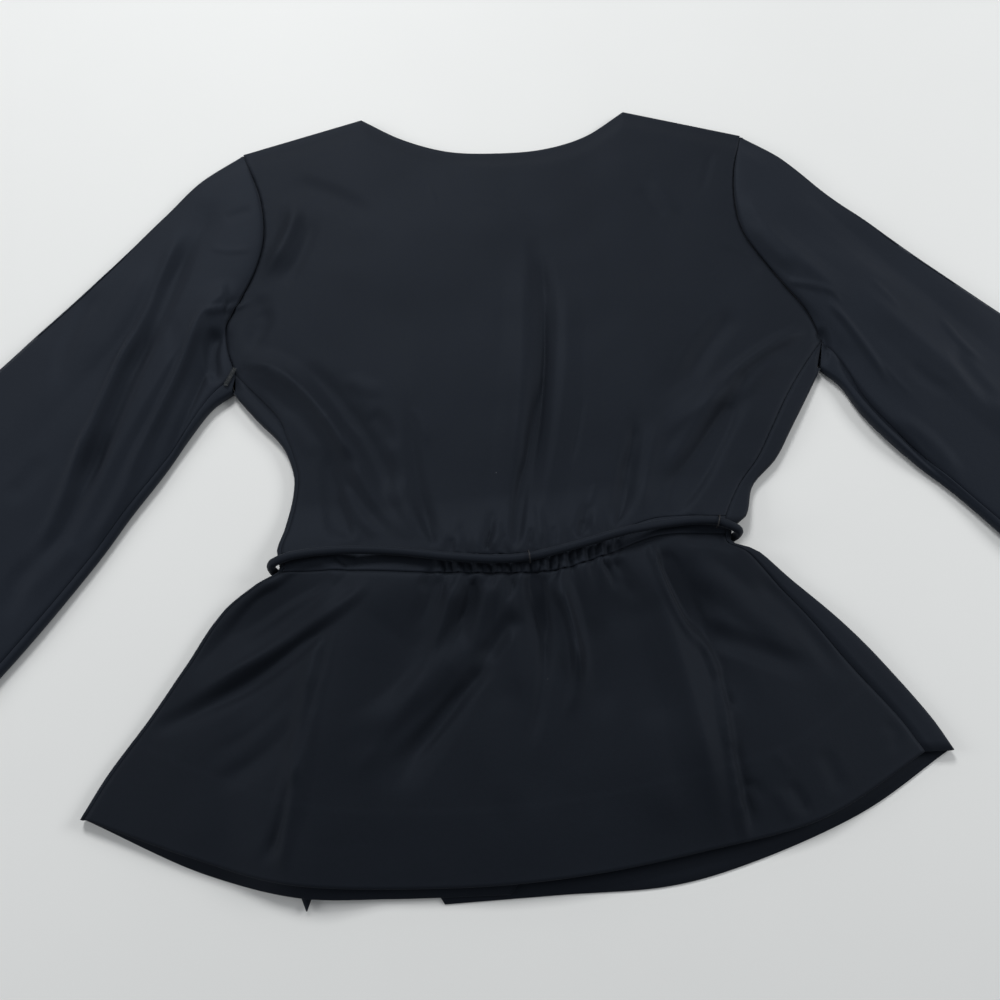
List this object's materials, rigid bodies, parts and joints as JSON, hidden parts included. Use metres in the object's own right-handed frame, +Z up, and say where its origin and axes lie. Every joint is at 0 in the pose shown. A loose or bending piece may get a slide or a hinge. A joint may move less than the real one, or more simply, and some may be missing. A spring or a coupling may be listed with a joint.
{
  "type": "wrap top",
  "caption": "Black long-sleeved wrap top lying flat, back up, with a gathered waist casing, a flared peplum and a cord tie round the waist.",
  "frame": {"origin": "middle of the underside of the garment's box, on the surface it lies on", "axes": "+Z up, away from the surface; +Y towards the neck; +X towards the wearer's right sleeve, which is on the right when the back is seen from above"},
  "size_m": [1.2108, 0.5846, 0.0261],
  "materials": {
    "crepe": "matt crepe weave",
    "thread": "twisted thread",
    "clear_tape": "smooth"
  },
  "bodies": {
    "root": {"back_bodice": "crepe", "right_front": "crepe", "left_front": "crepe", "left_sleeve": "crepe", "right_sleeve": "crepe", "waist_casing": "crepe", "back_peplum": "crepe", "right_front_peplum": "crepe", "left_front_peplum": "crepe", "waist_tie": "crepe", "tie_tip": "crepe", "carrier_back": "thread", "carrier_side": "thread", "hanger_loop": "clear_tape"}
  },
  "joints": []
}
